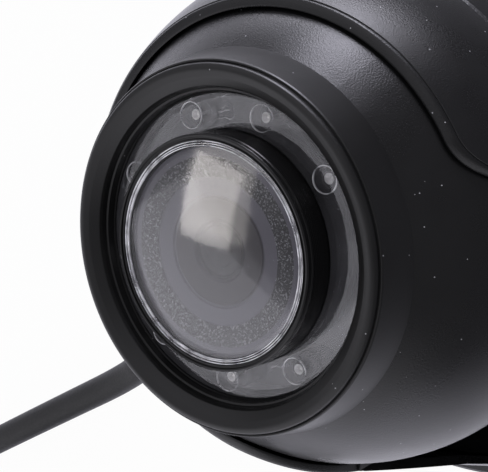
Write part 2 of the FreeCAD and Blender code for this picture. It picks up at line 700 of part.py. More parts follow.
lock_seat = foot_radius - 2.0 * size.housing_wall + 0.9
lock_holes = made("lock_holes", Part.makeCompound([radial_rod(
    size.lock_screw_radius + size.seat_clearance, angle, size.lock_screw_height,
    rib_radius - size.rib_wall - 1.0, size.plate_radius) for angle in LOCK_SCREW_ANGLES]))
lock_recesses = made("lock_recesses", Part.makeCompound([radial_rod(
    size.lock_head_radius + size.seat_clearance, angle, size.lock_screw_height,
    lock_seat, size.plate_radius) for angle in LOCK_SCREW_ANGLES]))
cable_hole = made("cable_hole", radial_rod(
    size.boot_radius + size.seat_clearance, size.cable_exit_angle, size.cable_exit_height,
    size.panel_circle, size.plate_radius))
keep(cut("housing", housing_body, [pin_sockets, slot, seam_groove, lock_holes, lock_recesses, cable_hole]))

# Visor: a shell round the ball, its mouth running out into the slot
visor_outside = common("visor_outside", [
    ball("visor_sphere", VISOR_RADIUS),
    block("visor_slab", FAR, FAR, "seam_height", FAR)])
socket = ball("visor_socket", SOCKET_RADIUS)


def mouth_prism():
    """The visor's mouth seen from the front: a circle that blends into the slot."""
    reach = size.rim_radius + size.notch_blend
    blend_x = size.notch_half_width + size.notch_blend
    blend_y = -math.sqrt(reach ** 2 - blend_x ** 2)
    scale = size.rim_radius / reach
    on_circle = Vector(blend_x * scale, blend_y * scale, 0.0)
    on_slot = Vector(size.notch_half_width, blend_y, 0.0)
    toward = (on_circle + on_slot) * 0.5 - Vector(blend_x, blend_y, 0.0)
    middle = Vector(blend_x, blend_y, 0.0) + toward * (size.notch_blend / toward.Length)
    low = -size.plate_radius
    mirror = lambda point: Vector(-point.x, point.y, 0.0)
    top = Vector(0.0, size.rim_radius, 0.0)
    corner = Vector(size.notch_half_width, low, 0.0)
    outline = Part.Wire([
        Part.Arc(on_circle, top, mirror(on_circle)).toShape(),
        Part.Arc(mirror(on_circle), mirror(middle), mirror(on_slot)).toShape(),
        Part.LineSegment(mirror(on_slot), mirror(corner)).toShape(),
        Part.LineSegment(mirror(corner), corner).toShape(),
        Part.LineSegment(corner, on_slot).toShape(),
        Part.Arc(on_slot, middle, on_circle).toShape(),
    ])
    prism = Part.Face(outline).extrude(Vector(0.0, 0.0, 2.0 * size.plate_radius))
    prism.translate(Vector(0.0, 0.0, size.seam_height - 5.0))
    return prism


mouth = made("visor_mouth", mouth_prism())
keep(cut("visor", visor_outside, [socket, mouth, seam_groove]))

# Base plate and sealing pad
panel_hole_angles = [45.0 + 360.0 * index / PANEL_SCREW_COUNT for index in range(PANEL_SCREW_COUNT)]
panel_holes = made("panel_holes", Part.makeCompound(rods_at(
    panel_hole_angles, size.panel_circle, size.panel_hole_radius, -1.0, size.notch_floor)))
plate_blank = turned("plate_blank", [
    ("0", "gasket_thickness"),
    ("plate_radius - 0.3", "gasket_thickness"),
    ("plate_radius", "gasket_thickness + 0.3"),
    ("plate_radius", PLATE_TOP + " - 0.5"),
    ("plate_radius - 0.5", PLATE_TOP),
    (RIB_RADIUS, PLATE_TOP),
    (RIB_RADIUS, PLATE_TOP + " + rib_height"),
    (RIB_RADIUS + " - rib_wall", PLATE_TOP + " + rib_height"),
    (RIB_RADIUS + " - rib_wall", PLATE_TOP),
    ("0", PLATE_TOP),
])
gap_half = size.boot_flange_radius + 1.0
plate_top = size.gasket_thickness + size.plate_thickness
rib_gap_shape = Part.makeBox(size.plate_radius - size.panel_circle, 2.0 * gap_half, 2.0 * size.rib_height,
                             Vector(size.panel_circle, -gap_half, plate_top))
rib_gap_shape.rotate(Vector(), Vector(0.0, 0.0, 1.0), size.cable_exit_angle)
rib_gap = made("rib_gap", rib_gap_shape)
keep(cut("base_plate", plate_blank, [panel_holes, rib_gap, lock_holes]))
pad_blank = cylinder("pad_blank", "plate_radius - 0.6", "gasket_thickness")
keep(cut("sealing_pad", pad_blank, [panel_holes]))

lock_screws = []
for angle in LOCK_SCREW_ANGLES:
    shank = radial_rod(size.lock_screw_radius, angle, size.lock_screw_height,
                       lock_seat - size.lock_screw_length, lock_seat)
    cap = radial_rod(size.lock_head_radius, angle, size.lock_screw_height,
                     lock_seat, lock_seat + size.lock_head_height)
    lock_screws.append(shank.fuse(cap).removeSplitter())
keep(made_piece("lock_screws", Part.makeCompound(lock_screws)))

# Cable boot, inner cable and terminal block
exit_turn = Rotation(Vector(0.0, 0.0, 1.0), size.cable_exit_angle)
outward = Rotation(Vector(0.0, 1.0, 0.0), 90.0)
exit_placement = Placement(Vector(0.0, 0.0, size.cable_exit_height), exit_turn.multiply(outward))
boot = turned("cable_boot", [
    ("cable_radius + 0.05", RIB_RADIUS + " - boot_flange_thickness - 0.5"),
    ("boot_flange_radius", RIB_RADIUS + " - boot_flange_thickness - 0.5"),
    ("boot_flange_radius", RIB_RADIUS + " - 0.5"),
    ("boot_radius", RIB_RADIUS + " - 0.5"),
    ("boot_radius", FOOT_RADIUS),
    ("boot_flange_radius", FOOT_RADIUS),
    ("boot_flange_radius", "plate_radius + 2"),
    ("boot_tip_radius", BOOT_REACH),
    ("cable_radius + 0.05", BOOT_REACH),
])
boot.Placement = exit_placement
keep(boot)
inner_start = rib_radius - size.cable_inside
keep(made_piece("inner_cable", radial_rod(
    size.cable_radius, size.cable_exit_angle, size.cable_exit_height, inner_start, boot_reach)))
terminal_length = 7.0
terminal_half = 5.0
terminal = Part.makeBox(terminal_length, 2.0 * terminal_half,
                        size.cable_exit_height + size.cable_radius - plate_top,
                        Vector(inner_start - terminal_length, -terminal_half, plate_top))
terminal.rotate(Vector(), Vector(0.0, 0.0, 1.0), size.cable_exit_angle)
keep(made_piece("terminal_block", terminal))

# Cable: a route of straight runs joined by tangent arcs
ROUTE = [
    polar(boot_reach, size.cable_exit_angle, size.cable_exit_height),
    polar(boot_reach + 9.0, size.cable_exit_angle, size.cable_exit_height),
    Vector(-79.6, 33.4, 3.6),
    Vector(-95.5, 41.2, 2.85),
    Vector(-113.5, 49.9, 2.8),
    Vector(-145.6, 65.2, 2.8),
    Vector(-174.6, 46.9, 2.8),
    Vector(-174.6, 9.0, 2.8),
]
ARC_SHARE = 0.45
COIL_RADIUS = 34.2
COIL_STEP = 6.1
COIL_LAYER = 6.1
COIL_TURNS_IN = 2.0
CLIMB_TURNS = 0.5
COIL_TURNS_OUT = 1.75
TAIL = 14.0


def tangent_path(points, share):
    """Straight runs with an arc in each corner, as a wire; prints the radii."""
    edges = []
    radii = []
    start = points[0]
    for index in range(1, len(points) - 1):
        back = points[index - 1] - points[index]
        ahead = points[index + 1] - points[index]
        turn = math.pi - back.getAngle(ahead)
        trim = share * min(back.Length, ahead.Length)
        radius = trim / math.tan(turn / 2.0)
        radii.append(round(radius, 1))
        back.normalize()
        ahead.normalize()
        enter = points[index] + back * trim
        leave = points[index] + ahead * trim
        inward = (back + ahead).normalize()
        centre = points[index] + inward * math.hypot(trim, radius)
        middle = centre - inward * radius
        edges.append(Part.LineSegment(start, enter).toShape())
        edges.append(Part.Arc(enter, middle, leave).toShape())
        start = leave
    edges.append(Part.LineSegment(start, points[-1]).toShape())
    print("arc radii", radii)
    return Part.Wire(edges)


def tube(wire, radius, start, heading):
    section = Part.Wire([Part.Circle(start, heading, radius).toShape()])
    return wire.makePipeShell([section], True, False)


route_wire = tangent_path(ROUTE, ARC_SHARE)
cable = tube(route_wire, size.cable_radius, ROUTE[0], ROUTE[1] - ROUTE[0])
print("cable volume ratio", round(cable.Volume / (math.pi * size.cable_radius ** 2 * route_wire.Length), 4))
keep(made_piece("cable", cable))

# Coil: loops that spiral in, climb a layer and spiral out again
entry_heading = (ROUTE[-1] - ROUTE[-2]).normalize()
to_centre = Vector(-entry_heading.y, entry_heading.x, 0.0)
coil_centre = ROUTE[-1] + to_centre * COIL_RADIUS
entry_angle = math.atan2(-to_centre.y, -to_centre.x)
COIL_TURNS = COIL_TURNS_IN + COIL_TURNS_OUT + CLIMB_TURNS
INNER_RADIUS = COIL_RADIUS - COIL_TURNS_IN * COIL_STEP


def coil_point(turns):
    """The point of the coil after a number of turns, anticlockwise."""
    climb_end = COIL_TURNS_IN + CLIMB_TURNS
    if turns <= COIL_TURNS_IN:
        radius = COIL_RADIUS - turns * COIL_STEP
        lift = 0.0
    elif turns <= climb_end:
        share = (turns - COIL_TURNS_IN) / CLIMB_TURNS
        radius = INNER_RADIUS - COIL_STEP * CLIMB_TURNS / math.pi * math.sin(math.pi * share)
        lift = COIL_LAYER * 0.5 * (1.0 - math.cos(math.pi * share))
    else:
        radius = INNER_RADIUS + (turns - climb_end) * COIL_STEP
        lift = COIL_LAYER
    angle = entry_angle + 2.0 * math.pi * turns
    return coil_centre + Vector(radius * math.cos(angle), radius * math.sin(angle), lift)


def coil_heading(turns):
    small = 1e-4
    return (coil_point(turns + small) - coil_point(turns - small)).normalize()


def arc_between(start, heading, end):
    """The arc that leaves start along heading and reaches end."""
    chord = end - start
    half = chord.Length / 2.0
    along = chord * (1.0 / chord.Length)
    lean = heading.getAngle(chord)
    side = heading - along * heading.dot(along)
    if side.Length < 1e-9:
        return Part.LineSegment(start, end).toShape()
    side.normalize()
    middle = start + chord * 0.5 + side * (half * math.tan(lean / 2.0))
    return Part.Arc(start, middle, end).toShape()


def biarc(start, heading, end, end_heading):
    """Two arcs that join two points along the headings there."""
    span = end - start
    total = heading + end_heading
    product = 2.0 * (1.0 - heading.dot(end_heading))
    lean = span.dot(total)
    reach = (-lean + math.sqrt(lean ** 2 + product * span.dot(span))) / product
    joint = (start + heading * reach + end - end_heading * reach) * 0.5
    return [arc_between(start, heading, joint), arc_between(end, end_heading * -1.0, joint)]


STATIONS_PER_TURN = 8
STATION_COUNT = int(round(STATIONS_PER_TURN * COIL_TURNS))
stations = [index / STATIONS_PER_TURN for index in range(STATION_COUNT + 1)]
coil_headings = [entry_heading] + [coil_heading(turns) for turns in stations[1:]]
coil_edges = []
for index in range(STATION_COUNT):
    coil_edges += biarc(coil_point(stations[index]), coil_headings[index],
                        coil_point(stations[index + 1]), coil_headings[index + 1])
tail_start = coil_point(COIL_TURNS)
tail_heading = coil_headings[-1]
tail_end = tail_start + tail_heading * TAIL
coil_edges.append(Part.LineSegment(tail_start, tail_end).toShape())
coil_wire = Part.Wire(Part.__sortEdges__(coil_edges))
GAP_STEPS = 36
coil_points = [coil_point(index / GAP_STEPS) for index in range(int(COIL_TURNS * GAP_STEPS) + 1)]
least_gap = min(
    (first - second).Length
    for index, first in enumerate(coil_points)
    for second in coil_points[index + GAP_STEPS // 2:]) - 2.0 * size.cable_radius
print("least gap in the coil", round(least_gap, 3))
coil = tube(coil_wire, size.cable_radius, ROUTE[-1], entry_heading)
lowest = min(point.z for edge in coil_edges for point in edge.discretize(12)) - size.cable_radius
print("lowest point of the coil", round(lowest, 3))
print("coil volume ratio", round(coil.Volume / (math.pi * size.cable_radius ** 2 * coil_wire.Length), 4))
print("cable length", round(route_wire.Length + coil_wire.Length, 1))
keep(made_piece("cable_coil", coil))

# Connector on the end of the cable
plug_turn = Rotation(Vector(0.0, 0.0, 1.0), tail_heading)
plug_placement = Placement(tail_end, plug_turn)
print("plug", [round(value, 3) for value in tail_end], [round(value, 6) for value in tail_heading])
NOSE_START = "plug_length"
plug = turned("connector_body", [
    ("0", "0"),
    ("cable_radius + 0.6", "0"),
    ("plug_radius", "plug_length / 4"),
    ("plug_radius", "plug_length - 3"),
    ("plug_radius + 0.8", "plug_length - 2"),
    ("plug_radius + 0.8", "plug_length"),
    ("plug_nose_radius", "plug_length"),
    ("plug_nose_radius", "plug_length + ring_length / 2 + ring_clearance"),
    ("plug_nose_radius + 0.8", "plug_length + ring_length / 2 + ring_clearance"),
    ("plug_nose_radius + 0.8", "plug_length + ring_length / 2 + ring_stop"),
    ("plug_nose_radius", "plug_length + ring_length / 2 + ring_stop"),
    ("plug_nose_radius", "plug_length + plug_nose_length"),
    ("plug_nose_radius - 1", "plug_length + plug_nose_length"),
    ("plug_nose_radius - 1", "plug_length + plug_nose_length / 2"),
    ("0", "plug_length + plug_nose_length / 2"),
])
plug.Placement = plug_placement
keep(plug)
ring = turned("coupling_ring", [
    ("plug_nose_radius + ring_clearance", "plug_length + ring_clearance"),
    ("ring_radius", "plug_length + ring_clearance"),
    ("ring_radius", "plug_length + ring_length"),
    ("plug_nose_radius + 0.8 + ring_clearance * 3", "plug_length + ring_length"),
    ("plug_nose_radius + 0.8 + ring_clearance * 3", "plug_length + ring_length / 2"),
    ("plug_nose_radius + ring_clearance", "plug_length + ring_length / 2"),
])
ring.Placement = plug_placement
keep(ring)
contact_foot = size.plug_length + size.plug_nose_length / 2.0
contacts = Part.makeCompound([
    rod(size.contact_radius, polar(size.contact_circle, 45.0 + 90.0 * index, contact_foot),
        polar(size.contact_circle, 45.0 + 90.0 * index, size.plug_length + size.plug_nose_length - 0.5))
    for index in range(CONTACT_COUNT)])
keep(made_piece("contact_pins", contacts, plug_placement))

# Check every object, then write each sub-part
doc.recompute()
failed = [item.Label for item in doc.Objects if "Invalid" in item.State or "Error" in item.State]
if failed:
    raise RuntimeError("failed objects: " + ", ".join(failed))
os.makedirs("parts", exist_ok=True)
for piece in pieces:
    shape = piece.Shape
    if shape.isNull() or not shape.isValid() or not shape.Solids:
        raise RuntimeError("bad shape: " + piece.Label)
    shape.exportStep("parts/" + piece.Label + ".step")
    print("%-24s %2d solids %10.1f mm3  z %.1f to %.1f" % (
        piece.Label, len(shape.Solids), shape.Volume, shape.BoundBox.ZMin, shape.BoundBox.ZMax))
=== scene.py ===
import json
import math

import bmesh
import bpy
from mathutils import Matrix, Vector


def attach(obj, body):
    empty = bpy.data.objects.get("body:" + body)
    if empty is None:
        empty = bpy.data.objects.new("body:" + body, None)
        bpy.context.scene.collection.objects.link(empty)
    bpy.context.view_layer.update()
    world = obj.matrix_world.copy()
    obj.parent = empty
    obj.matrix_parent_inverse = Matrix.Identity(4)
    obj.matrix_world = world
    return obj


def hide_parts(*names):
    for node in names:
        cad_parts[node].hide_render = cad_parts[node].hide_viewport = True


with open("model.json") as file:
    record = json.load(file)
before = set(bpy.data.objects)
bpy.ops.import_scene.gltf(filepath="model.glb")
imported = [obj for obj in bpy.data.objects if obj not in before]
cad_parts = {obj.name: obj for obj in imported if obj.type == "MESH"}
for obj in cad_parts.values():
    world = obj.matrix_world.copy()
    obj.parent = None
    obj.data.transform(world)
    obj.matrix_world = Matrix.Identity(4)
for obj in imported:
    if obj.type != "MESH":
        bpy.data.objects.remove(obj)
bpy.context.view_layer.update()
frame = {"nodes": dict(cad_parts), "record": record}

MM = 0.001
BALL_HEIGHT = 37.0
CABLE_RADIUS = 2.8
CABLE_HEIGHT = 7.4
CABLE_AZIMUTH = 157.0

# camera

EYE = Vector((80.408, -56.613, 179.984)) * MM
EYE_RIGHT = Vector((0.44399, -0.65824, -0.60795))
EYE_UP = Vector((0.73405, 0.65629, -0.17449))
EYE_BACK = Vector((0.51384, -0.36881, 0.77457))
FOCAL_LENGTH = 95.9


def make_camera():
    data = bpy.data.cameras.new("photo_camera")
    data.lens = FOCAL_LENGTH
    data.clip_start = 0.01
    data.clip_end = 20.0
    camera = bpy.data.objects.new("photo_camera", data)
    bpy.context.scene.collection.objects.link(camera)
    turn = Matrix((EYE_RIGHT, EYE_UP, EYE_BACK)).transposed()
    camera.matrix_world = Matrix.Translation(EYE) @ turn.to_4x4()
    bpy.context.scene.camera = camera


make_camera()

# shader maths


class Wire:
    """A socket whose arithmetic adds Math nodes to its finish."""

    def __init__(self, finish, socket):
        self.finish = finish
        self.socket = socket

    def math(self, operation, first, second):
        return self.finish.add("ShaderNodeMath", {"operation": operation}, {0: first, 1: second})

    def __add__(self, other):
        return self.math("ADD", self, other)

    def __rsub__(self, other):
        return self.math("SUBTRACT", other, self)

    def __mul__(self, other):
        return self.math("MULTIPLY", self, other)

    def __lt__(self, other):
        return self.math("LESS_THAN", self, other)

    def ramp(self, low, high, start=0.0, end=1.0):
        """The value between low and high, eased onto start to end."""
        return self.finish.add(
            "ShaderNodeMapRange", {"interpolation_type": "SMOOTHSTEP"},
            {"Value": self, "From Min": low, "From Max": high, "To Min": start, "To Max": end}, "Result")


class Finish:
    """A material on one Principled shader; plain numbers sit on the shader's own sockets."""

    def __init__(self, name, **settings):
        self.material = bpy.data.materials.new(name)
        self.material.use_nodes = True
        self.tree = self.material.node_tree
        self.shader = self.tree.nodes["Principled BSDF"]
        for socket, value in settings.items():
            self.feed(socket.replace("_", " ").title().replace("Ior", "IOR"), value)

    def feed(self, socket, value):
        target = self.shader.inputs[socket]
        if isinstance(value, Wire):
            self.tree.links.new(value.socket, target)
        else:
            target.default_value = value

    def add(self, kind, settings, inputs, output=0):
        node = self.tree.nodes.new(kind)
        for name, value in settings.items():
            setattr(node, name, value)
        for name, value in inputs.items():
            if isinstance(value, Wire):
                self.tree.links.new(value.socket, node.inputs[name])
            else:
                node.inputs[name].default_value = value
        return Wire(self, node.outputs[output])

    def place(self):
        return self.add("ShaderNodeTexCoord", {}, {}, "Object")

    def distance(self):
        """The distance from the lens axis."""
        flat = self.add("ShaderNodeVectorMath", {"operation": "MULTIPLY"},
                        {0: self.place(), 1: (1.0, 1.0, 0.0)}, "Vector")
        return self.add("ShaderNodeVectorMath", {"operation": "LENGTH"}, {0: flat}, "Value")

    def noise(self, scale, detail=2.0, roughness=0.5):
        return self.add("ShaderNodeTexNoise", {},
                        {"Vector": self.place(), "Scale": scale, "Detail": detail, "Roughness": roughness},
                        "Fac")

    def specks(self, scale, size, share):
        """Round dust specks, in a share of the cells."""
        near = self.add("ShaderNodeTexVoronoi", {}, {"Vector": self.place(), "Scale": scale}, "Distance")
        cell = self.add("ShaderNodeTexVoronoi", {}, {"Vector": self.place(), "Scale": scale}, "Color")
        draw = self.add("ShaderNodeSeparateColor", {}, {"Color": cell}, "Red")
        return (near < size) * (draw < share)

    def mix(self, factor, first, second):
        """A colour between two colours."""
        node = self.tree.nodes.new("ShaderNodeMix")
        node.data_type = "RGBA"
        for socket, value in (("Factor_Float", factor), ("A_Color", first), ("B_Color", second)):
            target = next(item for item in node.inputs if item.identifier == socket)
            if isinstance(value, Wire):
                self.tree.links.new(value.socket, target)
            else:
                target.default_value = (*value[:3], 1.0)
        return Wire(self, next(item for item in node.outputs if item.identifier == "Result_Color"))

    def bump(self, height, depth):
        """Surface relief from a height between 0 and 1, depth in metres."""
        relief = {"Height": height, "Distance": depth, "Strength": 1.0}
        self.feed("Normal", self.add("ShaderNodeBump", {}, relief))


# finishes

DUST = (0.55, 0.55, 0.57)


def moulded_black(name, shade, roughness, grain, dust_share, tint=(1.0, 1.0, 1.04)):
    """Black moulded plastic: fine grain, faint cloudiness, some dust."""
    finish = Finish(name, specular_ior_level=0.5)
    cloud = finish.noise(90.0, 3.0)
    fine = finish.noise(5200.0, 2.0)
    dust = finish.specks(760.0, 0.060, dust_share)
    dark = [shade * part * 0.85 for part in tint]
    light = [shade * part * 1.2 for part in tint]
    colour = finish.mix(cloud.ramp(0.3, 0.7), dark, light)
    finish.feed("Base Color", finish.mix(dust, colour, DUST))
    finish.feed("Roughness", cloud.ramp(0.3, 0.7, roughness - 0.03, roughness + 0.04) + fine * 0.05)
    finish.bump(fine, grain)
    return finish.material


def circuit_board(name, shade):
    """Lacquered board with faint copper tracks under the lacquer."""
    finish = Finish(name, roughness=0.35, coat_weight=0.4)
    tracks = finish.add("ShaderNodeTexBrick", {"offset": 0.5},
                        {"Vector": finish.place(), "Scale": 300.0, "Mortar Size": 0.04}, "Fac")
    lit = [part * 1.9 for part in shade]
    cloud = finish.noise(240.0, 3.0)
    finish.feed("Base Color", finish.mix(tracks * 0.6 + cloud * 0.25, shade, lit))
    finish.bump(tracks, 0.00004)
    return finish.material


def metal(name, colour, roughness):
    finish = Finish(name, metallic=1.0)
    streak = finish.noise(900.0, 4.0)
    dark = [part * 0.8 for part in colour]
    finish.feed("Base Color", finish.mix(streak, dark, colour))
    finish.feed("Roughness", streak.ramp(0.2, 0.8, roughness - 0.06, roughness + 0.08))
    finish.bump(streak, 0.00001)
    return finish.material


def rubber(name, shade, roughness=0.62):
    finish = Finish(name, specular_ior_level=0.35)
    fine = finish.noise(1900.0, 3.0)
    cloud = finish.noise(120.0, 3.0)
    finish.feed("Base Color", finish.mix(cloud, (shade * 0.8,) * 3, (shade * 1.3,) * 3))
    finish.feed("Roughness", fine.ramp(0.2, 0.8, roughness - 0.06, roughness + 0.08))
    finish.bump(fine, 0.00003)
    return finish.material


def clear(name, shade, alpha, ior, roughness=0.03):
    """Clear plastic or glass, seen through by its alpha, with faint smears."""
    finish = Finish(name, ior=ior)
    smear = finish.noise(260.0, 5.0, 0.62)
    facing = finish.add("ShaderNodeLayerWeight", {}, {"Blend": 0.35}, "Facing")
    dark = [part * 0.7 for part in shade]
    light = [part * 1.25 for part in shade]
    finish.feed("Base Color", finish.mix(smear, dark, light))
    finish.feed("Roughness", smear.ramp(0.35, 0.75, roughness, roughness + 0.05))
    finish.feed("Alpha", facing * 0.25 + alpha)
    finish.bump(smear, 0.00002)
    return finish.material


def window_resin():
    """The clear ring: pale swirls and scratches in its surface."""
    finish = Finish("window_resin", ior=2.3)
    swirl = finish.add("ShaderNodeTexWave", {"wave_type": "RINGS", "rings_direction": "Z"},
                       {"Vector": finish.place(), "Scale": 260.0, "Distortion": 11.0, "Detail": 2.0,
                        "Detail Scale": 1.2}, "Fac")
    patch = finish.noise(170.0, 3.0).ramp(0.56, 0.72)
    lines = swirl.ramp(0.955, 0.995) * patch
    smear = finish.noise(220.0, 2.0)
    base = finish.mix(smear, (0.13, 0.13, 0.14), (0.18, 0.18, 0.19))
    finish.feed("Base Color", finish.mix(lines, base, (0.6, 0.6, 0.63)))
    finish.feed("Roughness", smear.ramp(0.35, 0.75, 0.05, 0.13))
    finish.feed("Alpha", smear.ramp(0.3, 0.7, 0.21, 0.28) + lines * 0.25)
    finish.bump(smear + lines * 0.4, 0.000005)
    return finish.material


def lamp_resin():
    """Lamp domes: nearly clear seen face on, with bright outlines."""
    finish = Finish("lamp_resin", ior=1.9)
    facing = finish.add("ShaderNodeLayerWeight", {}, {"Blend": 0.5}, "Facing")
    smear = finish.noise(900.0, 3.0)
    finish.feed("Base Color", finish.mix(smear, (0.30, 0.30, 0.32), (0.45, 0.45, 0.47)))
    finish.feed("Roughness", smear.ramp(0.35, 0.75, 0.04, 0.10))
    finish.feed("Alpha", facing.ramp(0.45, 0.95, 0.14, 0.75))
    return finish.material


def baffle_grey():
    """The baffle: a grained ring with painted glints, round smooth lilac grey ones."""
    finish = Finish("baffle_grey", specular_ior_level=0.6)
    radius = finish.distance()
    ring = radius.ramp(0.00878, 0.00886) * (1.0 - radius.ramp(0.01125, 0.01135))
    grain = finish.noise(4200.0, 2.0, 0.7)
    # painted glints: the grain's peaks are made pale in the base colour to stand for sparkles of light
    painted_glints = grain.ramp(0.52, 0.66)
    step = radius.ramp(0.0063, 0.0067)
    smooth = finish.mix(step, (0.090, 0.080, 0.086), (0.25, 0.240, 0.290))
    rough = finish.mix(painted_glints, (0.040, 0.040, 0.042), (0.60, 0.60, 0.63))
    finish.feed("Base Color", finish.mix(ring, smooth, rough))
    finish.feed("Roughness", ring.ramp(0.0, 1.0, 0.42, 0.30) + grain * 0.1)
    finish.bump(grain * ring, 0.00006)
    return finish.material


def painted_edge_highlight():
    """Painted highlight: pale thin lines stand for the light that the cover glass's polished edge catches;
    also used for the lamps' bright outlines.
    """
    finish = Finish("painted_edge_highlight", ior=1.8)
    patch = finish.noise(420.0, 2.0)
    finish.feed("Base Color", finish.mix(patch, (0.45, 0.45, 0.47), (0.95, 0.95, 0.96)))
    finish.feed("Roughness", patch.ramp(0.3, 0.7, 0.08, 0.2))
    finish.feed("Alpha", patch.ramp(0.35, 0.62, 0.30, 1.0))
    return finish.material


def lamp_white():
    """The pale cups inside the lamps."""
    finish = Finish("lamp_white", specular_ior_level=1.0)
    patch = finish.noise(1400.0, 3.0)
    finish.feed("Base Color", finish.mix(patch, (0.80, 0.80, 0.81), (0.98, 0.98, 0.98)))
    finish.feed("Roughness", patch.ramp(0.3, 0.7, 0.15, 0.35))
    return finish.material


FINISHES = {
    "shell": moulded_black("shell_satin", 0.009, 0.27, 0.00003, 0.40),
    "bezel": moulded_black("bezel_satin", 0.008, 0.33, 0.000014, 0.22, (1.0, 0.99, 0.97)),
    "base": moulded_black("base_satin", 0.05, 0.45, 0.00003, 0.05),
    "window": window_resin(),
    "inner_black": moulded_black("inner_satin", 0.006, 0.20, 0.000012, 0.20, (1.0, 1.0, 1.0)),
    "lens_glass": clear("lens_glass", (0.020, 0.020, 0.023), 0.22, 2.2, 0.07),
    "filter_glass": clear("filter_glass", (0.05, 0.10, 0.12), 0.4, 1.8),
    "lamp": lamp_resin(),
    "sensor": moulded_black("sensor_black", 0.03, 0.2, 0.00001, 0.0),
    "lamp_circuit": circuit_board("lamp_board_black", (0.017, 0.017, 0.019)),
    "circuit": circuit_board("board_green", (0.012, 0.07, 0.032)),
    "metal": metal("turned_aluminium", (0.62, 0.63, 0.65), 0.32),
    "screw": metal("black_oxide_steel", (0.20, 0.20, 0.21), 0.34),
    "post": metal("plated_brass", (0.76, 0.60, 0.32), 0.25),
    "rubber": rubber("seal_rubber", 0.022),
    "cable_jacket": rubber("cable_jacket", 0.026, 0.55),
    "connector": moulded_black("plug_black", 0.02, 0.42, 0.00003, 0.04),
}
EYE_FINISH = moulded_black("eye_grey", 0.040, 0.22, 0.000004, 0.0, (1.06, 0.98, 0.96))
BAFFLE_FINISH = baffle_grey()
# pale finish with patchy alpha: the painted highlight lines on the glass edge and round the lamps
PAINTED_HIGHLIGHT_FINISH = painted_edge_highlight()
CUP_FINISH = lamp_white()

for entry in frame["record"]["subparts"]:
    mesh = frame["nodes"][entry["node"]].data
    mesh.materials.clear()
    mesh.materials.append(FINISHES[entry["material_slot"]])


# mesh making


def finish_piece(piece, body, material, nodes=()):
    piece.data.materials.append(material)
    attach(piece, body)
    if nodes:
        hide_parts(*nodes)
    return piece


def piece_from(name, made, sharp=38.0):
    """An object from a bmesh, shaded smooth up to a corner of that many degrees."""
    bmesh.ops.remove_doubles(made, verts=made.verts, dist=1e-7)
    bmesh.ops.recalc_face_normals(made, faces=made.faces)
    mesh = bpy.data.meshes.new(name)
    made.to_mesh(mesh)
    made.free()
    mesh.shade_smooth()
    mesh.set_sharp_from_angle(angle=math.radians(sharp))
    piece = bpy.data.objects.new(name, mesh)
    bpy.context.scene.collection.objects.link(piece)
    return piece


FILLET_STEPS = 5


def filleted(points):
    """A closed outline whose corners (radius, height, fillet) are rounded."""
    outline = []
    count = len(points)
    for index, (radius, height, fillet) in enumerate(points):
        corner = Vector((radius, height))
        before = Vector(points[index - 1][:2]) - corner
        after = Vector(points[(index + 1) % count][:2]) - corner
        if fillet <= 0.0 or before.length < 1e-6 or after.length < 1e-6:
            outline.append(corner)
            continue
        turn = math.pi - before.angle(after)
        trim = min(fillet * math.tan(turn / 2.0), 0.45 * before.length, 0.45 * after.length)
        start = corner + before.normalized() * trim
        end = corner + after.normalized() * trim
        for step in range(FILLET_STEPS + 1):
            share = step / FILLET_STEPS
            outline.append(start.lerp(corner, share).lerp(corner.lerp(end, share), share))
    return outline


def turned(name, points, segments=192, place=Matrix.Identity(4), wave=None):
    """A body of revolution about Z from a closed outline in millimetres."""
    made = bmesh.new()
    outline = filleted(points)
    rings = []
    for segment in range(segments):
        angle = 2.0 * math.pi * segment / segments
        ring = []
        for radius, height in outline:
            reach = radius if wave is None else radius + wave(radius, height, angle)
            spot = Vector((reach * math.cos(angle), reach * math.sin(angle), height)) * MM
            ring.append(made.verts.new(place @ spot))
        rings.append(ring)
    count = len(outline)
    for segment in range(segments):
        ring, following = rings[segment], rings[(segment + 1) % segments]
        for index in range(count):
            after = (index + 1) % count
            if outline[index].x < 1e-6 and outline[after].x < 1e-6:
                continue
            made.faces.new((ring[index], following[index], following[after], ring[after]))
    return piece_from(name, made)


def raised(points):
    """Outline points with their heights given above the ball's centre."""
    return [(radius, BALL_HEIGHT + rise, fillet) for radius, rise, fillet in points]


# cable

ROUTE = [
    (-58.912, 25.007, CABLE_HEIGHT),
    (-67.197, 28.523, CABLE_HEIGHT),
    (-79.6, 33.4, 3.6),
    (-95.5, 41.2, 2.85),
    (-113.5, 49.9, 2.8),
    (-145.6, 65.2, 2.8),
    (-174.6, 46.9, 2.8),
    (-174.6, 9.0, 2.8),
]
COIL_RADIUS = 34.2
COIL_STEP = 6.1
COIL_LAYER = 6.1
TURNS_IN = 2.0
CLIMB_TURNS = 0.5
TURNS_OUT = 1.75
COIL_POINTS = 16
TAIL = 14.0

entry_heading = (Vector(ROUTE[-1]) - Vector(ROUTE[-2])).normalized()
to_centre = Vector((-entry_heading.y, entry_heading.x, 0.0)).normalized()
coil_centre = Vector(ROUTE[-1]) + to_centre * COIL_RADIUS
entry_angle = math.atan2(-to_centre.y, -to_centre.x)
coil_turns = TURNS_IN + CLIMB_TURNS + TURNS_OUT


def coil_point(turns, swell=1.0):
    """The cable's place after a number of turns round the coil, anticlockwise."""
    inner = COIL_RADIUS - TURNS_IN * COIL_STEP
    climbed = (turns - TURNS_IN) / CLIMB_TURNS
    if climbed <= 0.0:
        radius, lift = COIL_RADIUS - turns * COIL_STEP, 0.0
    elif climbed <= 1.0:
        radius = inner - COIL_STEP * CLIMB_TURNS / math.pi * math.sin(math.pi * climbed)
        lift = COIL_LAYER * 0.5 * (1.0 - math.cos(math.pi * climbed))
    else:
        radius, lift = inner + (turns - TURNS_IN - CLIMB_TURNS) * COIL_STEP, COIL_LAYER
    angle = entry_angle + 2.0 * math.pi * turns
    return coil_centre + Vector((radius * swell * math.cos(angle), radius * swell * math.sin(angle), lift))


